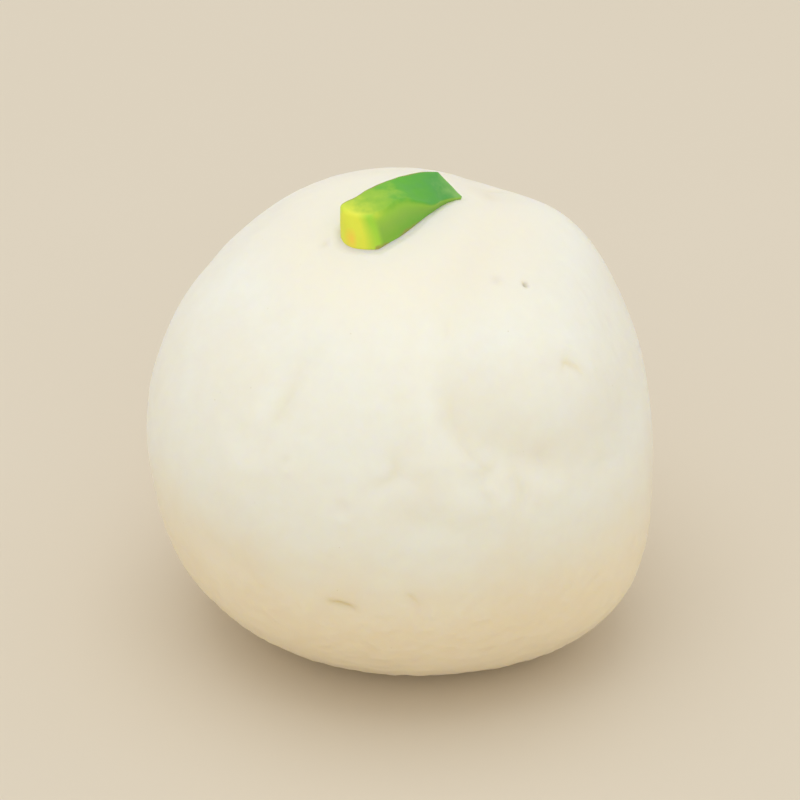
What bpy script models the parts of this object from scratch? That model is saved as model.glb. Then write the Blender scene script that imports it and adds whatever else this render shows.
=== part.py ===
"""A rasgulla: one moist ball of fresh cheese with a sliver of pistachio pressed into its crown.

Metres, +Z up. The ball rests on a small flat foot at Z = 0, its front faces -Y, and the origin is on
the floor under the middle of its outline.

The ball is a star-shaped solid: each direction from its centre has one radius. The radius is that of
an egg-like body, plus swells (broad lobes, small lumps and dents), less creases (valleys along a
path). Places on it are given as someone in front of it sees them, looking 32 degrees down: so many
millimetres across and up from its centre. A turn carries such a place round to another side.
"""

import math
from collections import namedtuple

import bmesh
import bpy
import numpy as np
from mathutils import Vector

MM = 0.001

# The body of the ball, in millimetres
HALF_WIDTH = 22.1
HALF_DEPTH = 22.2
HALF_HEIGHT = 21.1
FOOT_SINK = 1.2
FOOT_ROUNDING = 0.5
FOOT_BELOW = -0.3
UPPER_FULLNESS = 2.0
LOWER_FULLNESS = 2.4
SAG_RANGE = 0.5
MEAN_RADIUS = 22.0
VIEW_TILT = math.radians(32)

# A swell rises (or, when negative, sinks) over a round patch; spread is that patch's radius.
Swell = namedtuple("Swell", "across up rise spread turn", defaults=(0,))
LOBES = (
    Swell(17.0, -15.0, 2.5, 7.5),
    Swell(13.8, 17.2, 1.55, 5.6),
    Swell(-4.0, 21.6, 0.75, 6.6),
    Swell(-21.0, -6.0, 0.4, 8.8),
    Swell(8.6, 20.2, -0.65, 2.8),
    Swell(10.0, 4.0, 1.1, 7.0, 150),
    Swell(-8.0, -6.0, 0.9, 7.5, 205),
    Swell(2.0, 9.0, -0.6, 6.0, 180),
)
LUMPS = (
    Swell(14.6, 5.4, 0.85, 4.8),
    Swell(3.2, -5.3, 0.28, 1.8),
    Swell(5.4, -7.6, 0.3, 1.4),
    Swell(9.2, -7.5, 0.12, 1.0),
    Swell(12.9, -6.0, 0.12, 1.3),
    Swell(19.4, -0.8, -0.45, 2.6),
    Swell(-12.2, 0.1, 0.2, 1.0),
    Swell(-13.8, -5.0, 0.48, 2.1),
    Swell(-2.0, 1.0, 0.12, 2.0),
    Swell(-9.0, -3.4, 0.4, 2.8, 170),
    Swell(11.0, -2.0, 0.35, 2.4, 118),
)
PITS = (Swell(11.0, 11.75, -0.5, 0.27),)

# A crease sinks along a path of places and fades out at its ends; a negative depth is a ridge.
Crease = namedtuple("Crease", "path depth width turn", defaults=(0,))
CREASES = (
    Crease(((4.5, 1.2), (6.6, -0.8), (9.5, -2.2), (12.5, -3.1), (15.0, -3.2), (17.2, -2.6)), 0.52, 2.8),
    Crease(((4.4, 0.8), (5.8, -1.2), (7.7, -2.5), (10.0, -3.3), (12.4, -4.0), (14.4, -4.3)), 0.18, 1.2),
    Crease(((3.9, 2.0), (4.5, -0.4), (5.6, -2.2), (6.8, -3.6)), 0.14, 0.8),
    Crease(((2.5, 4.0), (2.5, 1.2), (2.8, -1.2), (3.4, -3.8)), -0.44, 1.7),
    Crease(((8.4, 20.4), (7.4, 14.0), (6.0, 8.6)), 0.25, 2.4),
    Crease(((6.0, -5.2), (7.2, -4.9), (8.6, -4.1)), 0.22, 0.8),
    Crease(((7.0, -5.4), (7.2, -6.4), (7.8, -7.4)), 0.2, 0.7),
    Crease(((10.0, -5.0), (10.4, -6.4), (10.1, -7.6)), 0.26, 0.8),
    Crease(((16.6, -3.8), (17.8, -3.5), (19.2, -3.0)), 0.14, 0.8),
    Crease(((-0.5, -3.4), (-0.3, -4.4), (-1.0, -5.3), (-2.2, -5.8)), 0.2, 0.8),
    Crease(((-0.3, -4.6), (1.0, -5.3), (2.6, -6.0)), 0.08, 0.8),
    Crease(((-0.6, -8.2), (2.5, -8.9), (5.8, -9.2), (8.4, -8.8)), 0.16, 1.3),
    Crease(((-7.4, 6.0), (-8.7, 3.8), (-9.7, 1.8), (-10.2, 0.2), (-11.2, -1.2)), 0.32, 1.1),
    Crease(((-15.6, -3.2), (-13.6, -5.2), (-10.6, -5.9)), 0.14, 1.2),
    Crease(((-17.5, -9.6), (-14.0, -12.2), (-10.0, -14.2)), 0.18, 1.5),
    Crease(((-9.0, 5.0), (-4.0, 1.4), (3.0, 0.4), (9.0, 2.0)), 0.6, 1.9, 185),
    Crease(((-3.0, 2.0), (-1.0, -4.0), (-3.0, -9.0)), 0.4, 1.2, 178),
    Crease(((-3.0, -6.0), (1.0, -9.0), (6.0, -12.0)), 0.45, 1.5, 128),
    Crease(((-6.0, -6.0), (0.0, -9.5), (6.0, -11.0)), 0.45, 1.6, -128),
)
NICKS = (
    Crease(((13.6, 4.2), (13.85, 4.7), (14.45, 4.45), (15.2, 3.9)), 0.24, 0.4),
    Crease(((-6.1, -15.6), (-5.0, -15.8), (-3.9, -16.1)), 0.3, 0.4),
)
CREASE_SAMPLES = 40
CREASE_FADE = 0.6

# Slight unevenness all over, from a fixed seed
DIMPLE_COUNT = 70
DIMPLE_RISE = 0.13
DIMPLE_SPREAD = (2.6, 4.6)
DIMPLE_SEED = 11

# Finer faces where the relief is fine: place and reach of each such area. Round the pit and the
# nicks the faces are halved more than once, over a reach that shrinks towards the mark.
FINE_AREAS = ((7.0, -1.5, 12.5), (-10.5, 0.0, 6.5), (0.0, 18.0, 8.5), (4.6, -4.2, 6.4))
MARK_AREAS = ((11.0, 11.7, 0.9, 3), (14.4, 4.4, 1.1, 2), (-5.0, -15.8, 1.4, 3))
MARK_MARGIN = 0.38
BALL_SUBDIVISIONS = 5

# The sliver, in millimetres along its length, across it and above the floor of its seat
SLIVER_CENTRE = (-0.2, -0.5)
SLIVER_TURN = math.radians(38.5)
SLIVER_THICKNESS = 2.7
SLIVER_PRESS = 0.5
BLUNT_REACH = 6.15
BLUNT_LEAN = 1.55
BLUNT_BOW = 1.4
BLUNT_TOP_BOW = 0.6
BLUNT_SKEW = 0.25
TIP_REACH = 6.2
TIP_SKEW = 0.7
TIP_DROP = 0.5
TIP_SPAN = (3.4, 6.8)
FRONT_SIDE = -3.0
FRONT_TAPER = 2.45
FRONT_SPAN = (-2.5, 6.6)
FRONT_LEAN = 1.9
FRONT_DROP = 1.5
FRONT_DROP_SPAN = (-1.0, 3.5)
BACK_SIDE = 2.1
BACK_TAPER = 0.55
BACK_SPAN = (1.2, 5.5)
SLIVER_BEVEL = 0.24
SLIVER_CUTS = 5

# The seat that the sliver has pressed into the ball
CLEARANCE = 0.3
SEAT_MARGIN = 0.35
SEAT_WALL = 1.3

# Finishes: sRGB colour, roughness and how much light goes through the surface
CHEESE = ("Moist fresh cheese", (0.95, 0.93, 0.87), 0.34, 0.35)
PISTACHIO = ("Cut pistachio kernel", (0.55, 0.73, 0.28), 0.55, 0.1)


def clear_scene():
    for item in list(bpy.data.objects):
        bpy.data.objects.remove(item, do_unlink=True)


def new_collection(name):
    collection = bpy.data.collections.new(name)
    bpy.context.scene.collection.children.link(collection)
    return collection


def linear(channel):
    """One sRGB channel as the linear value that a shader takes."""
    return channel / 12.92 if channel <= 0.04045 else ((channel + 0.055) / 1.055) ** 2.4


def food_material(finish):
    name, colour, roughness, see_into = finish
    material = bpy.data.materials.new(name)
    material.use_nodes = True
    shader = material.node_tree.nodes["Principled BSDF"]
    shader.inputs["Base Color"].default_value = (*map(linear, colour), 1.0)
    shader.inputs["Roughness"].default_value = roughness
    shader.inputs["Metallic"].default_value = 0.0
    shader.inputs["Subsurface Weight"].default_value = see_into
    shader.inputs["Subsurface Scale"].default_value = 3 * MM
    return material


def eased(value):
    """0 below 0, 1 above 1, and an S-curve between."""
    value = np.clip(value, 0.0, 1.0)
    return value * value * (3 - 2 * value)


def ramp(value, span):
    """An S-curve from 0 at the start of the span to 1 at its end."""
    start, end = span
    return eased((value - start) / (end - start))


def facing(across, up, turn=0.0):
    """Direction from the ball's centre to the place seen there, turned about Z by some degrees."""
    off_axis = math.hypot(across, up)
    ahead = math.sqrt(max(MEAN_RADIUS**2 - off_axis**2, 0.0))
    level = up * math.sin(VIEW_TILT) - ahead * math.cos(VIEW_TILT)
    height = up * math.cos(VIEW_TILT) + ahead * math.sin(VIEW_TILT)
    angle = math.radians(turn)
    x = across * math.cos(angle) - level * math.sin(angle)
    y = across * math.sin(angle) + level * math.cos(angle)
    place = np.array((x, y, height))
    return place / np.linalg.norm(place)


def smooth_path(places, count):
    """Directions along a Catmull-Rom curve through the places, from its first to its last."""
    places = np.vstack((2 * places[0] - places[1], places, 2 * places[-1] - places[-2]))
    spans = len(places) - 3
    steps = np.linspace(0.0, spans - 1e-9, count)
    span = steps.astype(int)
    t = (steps - span)[:, None]
    before, start, end, after = (places[span + i] for i in range(4))
    bend = 2 * before - 5 * start + 4 * end - after
    twist = 3 * start - before - 3 * end + after
    curve = start + 0.5 * t * (end - before + t * (bend + t * twist))
    return curve / np.linalg.norm(curve, axis=1)[:, None]


def patch(directions, centre, spread):
    """1 at the centre of a round patch, fading out over its spread."""
    return np.exp((directions @ centre - 1) * (MEAN_RADIUS / spread) ** 2)


def body_radius(directions):
    """An ellipsoid whose lower half is fuller, as a soft ball sags under its own weight."""
    level = np.hypot(directions[:, 0] / HALF_WIDTH, directions[:, 1] / HALF_DEPTH)
    height = np.abs(directions[:, 2]) / HALF_HEIGHT
    fullness = UPPER_FULLNESS + (LOWER_FULLNESS - UPPER_FULLNESS) * eased(-directions[:, 2] / SAG_RANGE)
    return (level**fullness + height**fullness) ** (-1 / fullness)


def swell_heights(directions, swells):
    total = np.zeros(len(directions))
    for swell in swells:
        centre = facing(swell.across, swell.up, swell.turn)
        total += swell.rise * patch(directions, centre, swell.spread)
    return total


def dimple_heights(directions):
    random = np.random.RandomState(DIMPLE_SEED)
    total = np.zeros(len(directions))
    for _ in range(DIMPLE_COUNT):
        centre = random.normal(size=3)
        rise = random.uniform(-DIMPLE_RISE, DIMPLE_RISE)
        spread = random.uniform(*DIMPLE_SPREAD)
        total += rise * patch(directions, centre / np.linalg.norm(centre), spread)
    return total


def crease_depth(directions, crease):
    places = np.array([facing(across, up, crease.turn) for across, up in crease.path])
    depth = np.zeros(len(directions))
    for step, place in enumerate(smooth_path(places, CREASE_SAMPLES)):
        strength = math.sin(math.pi * (step + 1) / (CREASE_SAMPLES + 1)) ** CREASE_FADE
        depth = np.maximum(depth, strength * patch(directions, place, crease.width / math.sqrt(2)))
    return crease.depth * depth


def plan_of_sliver(points):
    """Distances along and across the sliver of points given by their X and Y."""
    along = np.array((math.cos(SLIVER_TURN), math.sin(SLIVER_TURN)))
    across = np.array((-math.sin(SLIVER_TURN), math.cos(SLIVER_TURN)))
    offset = points[:, :2] - np.array(SLIVER_CENTRE)
    return offset @ along, offset @ across


def front_side(along, rise):
    """Where the sliver's front side stands. It leans back as it rises, less so where it is low."""
    lean = FRONT_LEAN * (1 - ramp(along, FRONT_DROP_SPAN)) * rise
    return FRONT_SIDE + FRONT_TAPER * ramp(along, FRONT_SPAN) + lean


def back_side(along):
    """Where the sliver's back side stands."""
    return BACK_SIDE - BACK_TAPER * ramp(along, BACK_SPAN)


def blunt_end(place, rise):
    """Where the sliver's cut end stands, at a place of -1 (front) to 1 (back) across it."""
    bow = BLUNT_BOW + (BLUNT_TOP_BOW - BLUNT_BOW) * rise
    return -BLUNT_REACH + BLUNT_LEAN * rise + bow * place**2 - BLUNT_SKEW * place


def tip_end(place):
    """Where the sliver's far end stands, at a place across it."""
    return TIP_REACH - TIP_SKEW * place


def sliver_height(along, place):
    """Height of the top face above the underside: lower towards the tip, and more so at its front."""
    drop = TIP_DROP * ramp(along, TIP_SPAN) + FRONT_DROP * ramp(along, FRONT_DROP_SPAN) * (1 - place) / 2
    return SLIVER_THICKNESS - CLEARANCE - drop


def seat_share(points):
    """1 under the sliver and just round it, fading to 0 up the wall of the seat."""
    along, across = plan_of_sliver(points)
    front = front_side(along, 0.0)
    back = back_side(along)
    place = np.clip((across - front) / (back - front) * 2 - 1, -1, 1)
    past_ends = np.maximum(blunt_end(place, 0.0) - along, along - tip_end(place))
    past_sides = np.maximum(front - across, across - back)
    past = np.hypot(np.maximum(past_ends, 0), np.maximum(past_sides, 0))
    return eased(1 - (past - SEAT_MARGIN) / SEAT_WALL) * (points[:, 2] > 0)


def crown_radius(directions):
    """The ball's radius without foot and seat."""
    radius = body_radius(directions) + dimple_heights(directions)
    radius += swell_heights(directions, LOBES + LUMPS + PITS)
    for crease in CREASES + NICKS:
        radius -= crease_depth(directions, crease)
    return radius


def ball_points(directions):
    """Points of the ball's surface about its centre, with the seat pressed in and the foot flat."""
    radius = crown_radius(directions)
    radius -= SLIVER_PRESS * seat_share(directions * radius[:, None])
    foot_depth = HALF_HEIGHT - FOOT_SINK
    to_foot = np.full(len(directions), 4 * MEAN_RADIUS)
    below = directions[:, 2] < FOOT_BELOW
    to_foot[below] = foot_depth / -directions[below, 2]
    overlap = np.clip(1 - np.abs(radius - to_foot) / FOOT_ROUNDING, 0, 1)
    radius = np.minimum(radius, to_foot) - FOOT_ROUNDING / 4 * overlap**2
    points = directions * radius[:, None]
    points[:, 2] += foot_depth
    points[np.abs(points[:, 2]) < 1e-6, 2] = 0.0
    return points


def refine(bm, across, up, reach):
    """Halves the edges of a unit sphere round a place."""
    centre = Vector(facing(across, up))
    nearest = math.cos(reach / MEAN_RADIUS)
    edges = [e for e in bm.edges if all(v.co.normalized().dot(centre) > nearest for v in e.verts)]
    bmesh.ops.subdivide_edges(bm, edges=edges, cuts=1, use_grid_fill=True)


def refined_sphere():
    """A unit sphere whose faces are finer where the ball's relief is fine."""
    bm = bmesh.new()
    bmesh.ops.create_icosphere(bm, subdivisions=BALL_SUBDIVISIONS, radius=1.0)
    for across, up, reach in FINE_AREAS:
        refine(bm, across, up, reach)
    for across, up, reach, halvings in MARK_AREAS:
        for halving in reversed(range(halvings)):
            refine(bm, across, up, reach + MARK_MARGIN * 2**halving)
    return bm


def finished_object(bm, name, collection, material):
    bmesh.ops.triangulate(bm, faces=bm.faces[:])
    bmesh.ops.recalc_face_normals(bm, faces=bm.faces[:])
    mesh = bpy.data.meshes.new(name)
    bm.to_mesh(mesh)
    bm.free()
    mesh.shade_smooth()
    mesh.materials.append(material)
    item = bpy.data.objects.new(name, mesh)
    collection.objects.link(item)
    return item


def move_points(bm, points):
    for vertex, point in zip(bm.verts, points * MM):
        vertex.co = point


def make_ball(collection):
    bm = refined_sphere()
    directions = np.array([vertex.co.normalized()[:] for vertex in bm.verts])
    move_points(bm, ball_points(directions))
    return finished_object(bm, "ball", collection, food_material(CHEESE))


def sliver_points(block):
    """Carries a block from -1 to 1 onto the sliver, whose underside follows the ball's crown."""
    step, place, rise = block[:, 0], block[:, 1], (block[:, 2] + 1) / 2
    start = blunt_end(place, rise)
    along = start + (tip_end(place) - start) * (step + 1) / 2
    front = front_side(along, rise)
    across = front + (back_side(along) - front) * (place + 1) / 2
    x = SLIVER_CENTRE[0] + along * math.cos(SLIVER_TURN) - across * math.sin(SLIVER_TURN)
    y = SLIVER_CENTRE[1] + along * math.sin(SLIVER_TURN) + across * math.cos(SLIVER_TURN)
    directions = np.stack((x, y, np.sqrt(MEAN_RADIUS**2 - x**2 - y**2)), axis=1) / MEAN_RADIUS
    floor = crown_radius(directions) - SLIVER_PRESS + CLEARANCE
    points = directions * (floor + sliver_height(along, place) * rise)[:, None]
    points[:, 2] += HALF_HEIGHT - FOOT_SINK
    return points


def make_sliver(collection):
    bm = bmesh.new()
    bmesh.ops.create_cube(bm, size=2.0)
    bmesh.ops.subdivide_edges(bm, edges=bm.edges[:], cuts=SLIVER_CUTS, use_grid_fill=True)
    block = np.array([vertex.co[:] for vertex in bm.verts])
    move_points(bm, sliver_points(block))
    sliver = finished_object(bm, "pistachio", collection, food_material(PISTACHIO))
    bevel = sliver.modifiers.new("Worn edges", "BEVEL")
    bevel.width = SLIVER_BEVEL * MM
    bevel.segments = 2
    bevel.limit_method = "ANGLE"
    bevel.angle_limit = math.radians(40)
    return sliver


def centre_on_origin(items, outline):
    """Moves the meshes so that the origin is under the middle of the outline object's box."""
    corners = np.array([vertex.co[:] for vertex in outline.data.vertices])
    middle = (corners.min(axis=0) + corners.max(axis=0)) / 2
    for item in items:
        for vertex in item.data.vertices:
            vertex.co.x -= middle[0]
            vertex.co.y -= middle[1]


def main():
    clear_scene()
    collection = new_collection("Rasgulla")
    ball = make_ball(collection)
    sliver = make_sliver(collection)
    centre_on_origin((ball, sliver), ball)


if __name__ == "__main__":
    main()
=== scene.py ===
"""The looks of a rasgulla: one moist ball of fresh cheese with a sliver of pistachio on its crown.

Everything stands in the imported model's frame: metres, +Z up, the front faces -Y, the floor is at Z = 0.
Sizes of the sweet are written in millimetres and turned to metres when a mesh is made.

The ball is star-shaped: each direction from its centre has one radius. Places on it are given as someone
in front of it sees them, looking 32 degrees down: so many millimetres across and up from its centre. A
turn carries such a place round to another side.
"""

from __future__ import annotations

import logging
import math
from dataclasses import dataclass
from enum import Enum
from typing import Any, Optional, Sequence

import bmesh
import bpy
import numpy as np
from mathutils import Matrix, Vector, noise

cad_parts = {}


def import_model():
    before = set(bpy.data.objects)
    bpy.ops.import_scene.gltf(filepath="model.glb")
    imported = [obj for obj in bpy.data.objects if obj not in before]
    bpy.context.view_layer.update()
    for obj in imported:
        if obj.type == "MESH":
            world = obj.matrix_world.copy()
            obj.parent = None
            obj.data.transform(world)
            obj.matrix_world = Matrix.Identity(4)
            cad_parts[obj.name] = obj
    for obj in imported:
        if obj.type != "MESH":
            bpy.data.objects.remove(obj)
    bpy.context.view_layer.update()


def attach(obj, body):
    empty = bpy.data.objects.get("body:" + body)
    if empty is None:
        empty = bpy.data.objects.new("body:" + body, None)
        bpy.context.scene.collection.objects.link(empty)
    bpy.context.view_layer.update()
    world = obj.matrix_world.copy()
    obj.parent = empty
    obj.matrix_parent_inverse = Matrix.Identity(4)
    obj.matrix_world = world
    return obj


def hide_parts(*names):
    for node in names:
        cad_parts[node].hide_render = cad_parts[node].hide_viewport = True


Array = np.ndarray
Socket = bpy.types.NodeSocket
LOG = logging.getLogger("rasgulla")

MM = 0.001
VIEW_TILT = math.radians(32)
MEAN_RADIUS = 22.0

# Keeps the last step along a curve inside its last stretch
SHORT_OF_END = 1e-9

# Sockets of the node that mixes two colours
MIX_A = 6
MIX_B = 7
MIX_RESULT = 2


class Node(Enum):
    """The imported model's nodes."""

    BALL = "ball"
    SLIVER = "pistachio"


class Slot(Enum):
    """The record's material slots."""

    CHEESE = "cheese"
    PISTACHIO = "pistachio"


class Fold(Enum):
    """How the walls of a crease meet at its bottom: the power of the distance from its path."""

    ROUND = 2.0
    TIGHT = 1.1


def eased(value: Any) -> Any:
    """0 below 0, 1 above 1, and an S-curve between."""
    value = np.clip(value, 0.0, 1.0)
    return value * value * (3 - 2 * value)


def ramp(value: Any, span: tuple[float, float]) -> Any:
    """An S-curve from 0 at the start of the span to 1 at its end."""
    start, end = span
    return eased((value - start) / (end - start))


def facing(across: float, up: float, turn: float = 0.0) -> Array:
    """Turns a place as seen from the front into a direction.

    Args:
        across: Millimetres to the right of the ball's centre.
        up: Millimetres above it in the view.
        turn: Degrees that the place is carried round the vertical axis.

    Returns:
        The unit vector from the ball's centre to that place.
    """
    ahead = math.sqrt(max(MEAN_RADIUS**2 - across**2 - up**2, 0.0))
    level = up * math.sin(VIEW_TILT) - ahead * math.cos(VIEW_TILT)
    height = up * math.cos(VIEW_TILT) + ahead * math.sin(VIEW_TILT)
    angle = math.radians(turn)
    x = across * math.cos(angle) - level * math.sin(angle)
    y = across * math.sin(angle) + level * math.cos(angle)
    place = np.array((x, y, height))
    return place / np.linalg.norm(place)


def smooth_path(places: Array, count: int) -> Array:
    """Draws a Catmull-Rom curve through places on the unit sphere.

    Args:
        places: Directions that the curve passes, in order.
        count: How many directions to return.

    Returns:
        Directions along the curve, from its first place to its last.
    """
    places = np.vstack((2 * places[0] - places[1], places, 2 * places[-1] - places[-2]))
    steps = np.linspace(0.0, len(places) - 3 - SHORT_OF_END, count)
    span = steps.astype(int)
    t = (steps - span)[:, None]
    before, start, end, after = (places[span + i] for i in range(4))
    bend = 2 * before - 5 * start + 4 * end - after
    twist = 3 * start - before - 3 * end + after
    curve = start + 0.5 * t * (end - before + t * (bend + t * twist))
    return curve / np.linalg.norm(curve, axis=1)[:, None]


def patch(directions: Array, centre: Array, spread: float, fold: Fold = Fold.ROUND) -> Array:
    """A rounded spot on the ball.

    Args:
        directions: Unit vectors of the points.
        centre: Unit vector of the spot's centre.
        spread: The spot's radius in millimetres.
        fold: Whether its top is round or pinched.

    Returns:
        1 at the centre, fading out over the spread.
    """
    away = np.sqrt(np.maximum(2 - 2 * (directions @ centre), 0.0)) * MEAN_RADIUS / spread
    return np.exp(-0.5 * away**fold.value)


@dataclass(frozen=True)
class Swell:
    """A round patch that rises, or sinks where its rise is negative; sizes in millimetres."""

    across: float
    up: float
    rise: float
    spread: float
    turn: float = 0.0

    def height(self, directions: Array) -> Array:
        """Height that the swell adds at each direction."""
        return self.rise * patch(directions, facing(self.across, self.up, self.turn), self.spread)


@dataclass(frozen=True)
class Crease:
    """A valley along a path that fades out at its ends, or a ridge where its depth is negative."""

    path: tuple[tuple[float, float], ...]
    depth: float
    width: float
    turn: float = 0.0
    fold: Fold = Fold.ROUND
    samples: int = 40
    end_fade: float = 0.6

    def sunk(self, directions: Array) -> Array:
        """Works out how far the crease sinks the surface.

        Args:
            directions: Unit vectors of the points.

        Returns:
            The depth at each of them, in millimetres.
        """
        places = np.array([facing(across, up, self.turn) for across, up in self.path])
        depth = np.zeros(len(directions))
        for step, place in enumerate(smooth_path(places, self.samples)):
            strength = math.sin(math.pi * (step + 1) / (self.samples + 1)) ** self.end_fade
            spot = patch(directions, place, self.width / math.sqrt(2), self.fold)
            depth = np.maximum(depth, strength * spot)
        return self.depth * depth


# The main shape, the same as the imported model's
LOBES = (
    Swell(17.0, -15.0, 2.5, 7.5),
    Swell(13.8, 17.2, 1.55, 5.6),
    Swell(-4.0, 21.6, 0.75, 6.6),
    Swell(-21.0, -6.0, 0.4, 8.8),
    Swell(8.6, 20.2, -0.65, 2.8),
    Swell(10.0, 4.0, 1.1, 7.0, 150),
    Swell(-8.0, -6.0, 0.9, 7.5, 205),
    Swell(2.0, 9.0, -0.6, 6.0, 180),
)
LUMPS = (
    Swell(14.6, 5.4, 0.85, 4.8),
    Swell(3.2, -5.3, 0.28, 1.8),
    Swell(5.4, -7.6, 0.3, 1.4),
    Swell(9.2, -7.5, 0.12, 1.0),
    Swell(12.9, -6.0, 0.12, 1.3),
    Swell(19.4, -0.8, -0.45, 2.6),
    Swell(-12.2, 0.1, 0.2, 1.0),
    Swell(-13.8, -5.0, 0.48, 2.1),
    Swell(-2.0, 1.0, 0.12, 2.0),
    Swell(-9.0, -3.4, 0.4, 2.8, 170),
    Swell(11.0, -2.0, 0.35, 2.4, 118),
)
CREASES = (
    Crease(((4.5, 1.2), (6.6, -0.8), (9.5, -2.2), (12.5, -3.1), (15.0, -3.2), (17.2, -2.6)), 0.52, 2.8),
    Crease(((4.4, 0.8), (5.8, -1.2), (7.7, -2.5), (10.0, -3.3), (12.4, -4.0), (14.4, -4.3)), 0.18, 1.2),
    Crease(((3.9, 2.0), (4.5, -0.4), (5.6, -2.2), (6.8, -3.6)), 0.14, 0.8),
    Crease(((2.5, 4.0), (2.5, 1.2), (2.8, -1.2), (3.4, -3.8)), -0.44, 1.7),
    Crease(((8.4, 20.4), (7.4, 14.0), (6.0, 8.6)), 0.25, 2.4),
    Crease(((6.0, -5.2), (7.2, -4.9), (8.6, -4.1)), 0.22, 0.8),
    Crease(((7.0, -5.4), (7.2, -6.4), (7.8, -7.4)), 0.2, 0.7),
    Crease(((10.0, -5.0), (10.4, -6.4), (10.1, -7.6)), 0.26, 0.8),
    Crease(((16.6, -3.8), (17.8, -3.5), (19.2, -3.0)), 0.14, 0.8),
    Crease(((-0.5, -3.4), (-0.3, -4.4), (-1.0, -5.3), (-2.2, -5.8)), 0.2, 0.8),
    Crease(((-0.3, -4.6), (1.0, -5.3), (2.6, -6.0)), 0.08, 0.8),
    Crease(((-0.6, -8.2), (2.5, -8.9), (5.8, -9.2), (8.4, -8.8)), 0.16, 1.3),
    Crease(((-7.4, 6.0), (-8.7, 3.8), (-9.7, 1.8), (-10.2, 0.2), (-11.2, -1.2)), 0.32, 1.1),
    Crease(((-15.6, -3.2), (-13.6, -5.2), (-10.6, -5.9)), 0.14, 1.2),
    Crease(((-17.5, -9.6), (-14.0, -12.2), (-10.0, -14.2)), 0.18, 1.5),
    Crease(((-9.0, 5.0), (-4.0, 1.4), (3.0, 0.4), (9.0, 2.0)), 0.6, 1.9, 185),
    Crease(((-3.0, 2.0), (-1.0, -4.0), (-3.0, -9.0)), 0.4, 1.2, 178),
    Crease(((-3.0, -6.0), (1.0, -9.0), (6.0, -12.0)), 0.45, 1.5, 128),
    Crease(((-6.0, -6.0), (0.0, -9.5), (6.0, -11.0)), 0.45, 1.6, -128),
)

# Finer marks: open bubbles, small bumps and short tight folds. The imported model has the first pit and
# the second and third fold too, with softer edges.
PITS = (
    Swell(11.0, 11.75, -0.45, 0.21),
    Swell(8.6, 12.3, -0.1, 0.36),
    Swell(-6.8, 15.6, -0.1, 0.3),
    Swell(-9.8, -3.5, -0.05, 0.3),
    Swell(-4.8, -7.3, -0.07, 0.5),
    Swell(12.3, -3.0, -0.06, 0.9),
)
SPECKS = (
    Swell(-2.0, 0.9, 0.08, 0.4),
    Swell(0.0, 9.6, 0.09, 0.4),
    Swell(-1.1, 10.7, 0.06, 0.3),
    Swell(13.9, 6.1, 0.1, 0.4),
    Swell(16.1, 4.2, 0.1, 0.4),
    Swell(-5.1, -8.6, 0.14, 0.5),
    Swell(-1.5, -4.7, 0.08, 0.4),
    Swell(-9.5, -4.5, 0.08, 0.4),
    Swell(2.0, -3.9, 0.1, 0.6),
    Swell(4.9, -3.5, 0.12, 0.6),
    Swell(-11.0, 2.0, 0.06, 0.4),
    Swell(8.8, -7.0, 0.08, 0.6),
)
FINE_CREASES = (
    Crease(((4.3, 8.9), (4.2, 7.8), (4.0, 6.9)), 0.08, 0.45, 0, Fold.TIGHT, 14),
    Crease(((13.6, 4.2), (13.85, 4.7), (14.45, 4.45), (15.2, 3.9)), 0.28, 0.28, 0, Fold.TIGHT, 20),
    Crease(((-6.1, -15.6), (-5.0, -15.8), (-3.9, -16.1)), 0.5, 0.26, 0, Fold.TIGHT, 24),
    Crease(((0.6, -14.9), (1.1, -15.3), (1.6, -15.8)), 0.2, 0.26, 0, Fold.TIGHT, 14),
    Crease(((4.5, -1.2), (5.8, -3.0), (7.1, -4.2), (8.6, -5.3)), 0.1, 0.4, 0, Fold.TIGHT, 20),
    Crease(((-9.1, 2.6), (-10.0, 1.0), (-11.0, -0.3)), 0.06, 0.5, 0, Fold.TIGHT, 18),
    Crease(((-0.6, -3.4), (-0.4, -4.7), (-1.8, -5.9)), 0.06, 0.45, 0, Fold.TIGHT, 18),
)


@dataclass(frozen=True)
class Scatter:
    """Fine marks strewn by a seeded draw over the sides and the back, like the ones in front."""

    seed: int
    pits: int
    folds: int
    pit_depth: tuple[float, float] = (0.08, 0.32)
    pit_radius: tuple[float, float] = (0.2, 0.34)
    fold_depth: tuple[float, float] = (0.1, 0.22)
    fold_width: tuple[float, float] = (0.32, 0.55)
    fold_length: tuple[float, float] = (1.6, 3.8)
    fold_bend: tuple[float, float] = (-0.6, 0.6)
    fold_samples: int = 16
    turns: tuple[float, float] = (100.0, 260.0)
    across: tuple[float, float] = (-9.0, 9.0)
    up: tuple[float, float] = (-16.0, 12.0)

    def draw(self) -> tuple[list[Swell], list[Crease]]:
        """Draws the marks.

        Returns:
            The pits and the folds.
        """
        random = np.random.RandomState(self.seed)
        pits = []
        for _ in range(self.pits):
            place = (random.uniform(*self.across), random.uniform(*self.up))
            depth = random.uniform(*self.pit_depth)
            pits.append(Swell(*place, -depth, random.uniform(*self.pit_radius), random.uniform(*self.turns)))
        folds = []
        for _ in range(self.folds):
            place = np.array((random.uniform(*self.across), random.uniform(*self.up)))
            heading = random.uniform(0.0, math.pi)
            bend = random.uniform(*self.fold_bend)
            reach = random.uniform(*self.fold_length) / 2
            start = place - reach * np.array((math.cos(heading), math.sin(heading)))
            end = place + reach * np.array((math.cos(heading + bend), math.sin(heading + bend)))
            path = (tuple(start), tuple(place), tuple(end))
            depth = random.uniform(*self.fold_depth)
            width = random.uniform(*self.fold_width)
            turn = random.uniform(*self.turns)
            folds.append(Crease(path, depth, width, turn, Fold.TIGHT, self.fold_samples))
        return pits, folds


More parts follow.
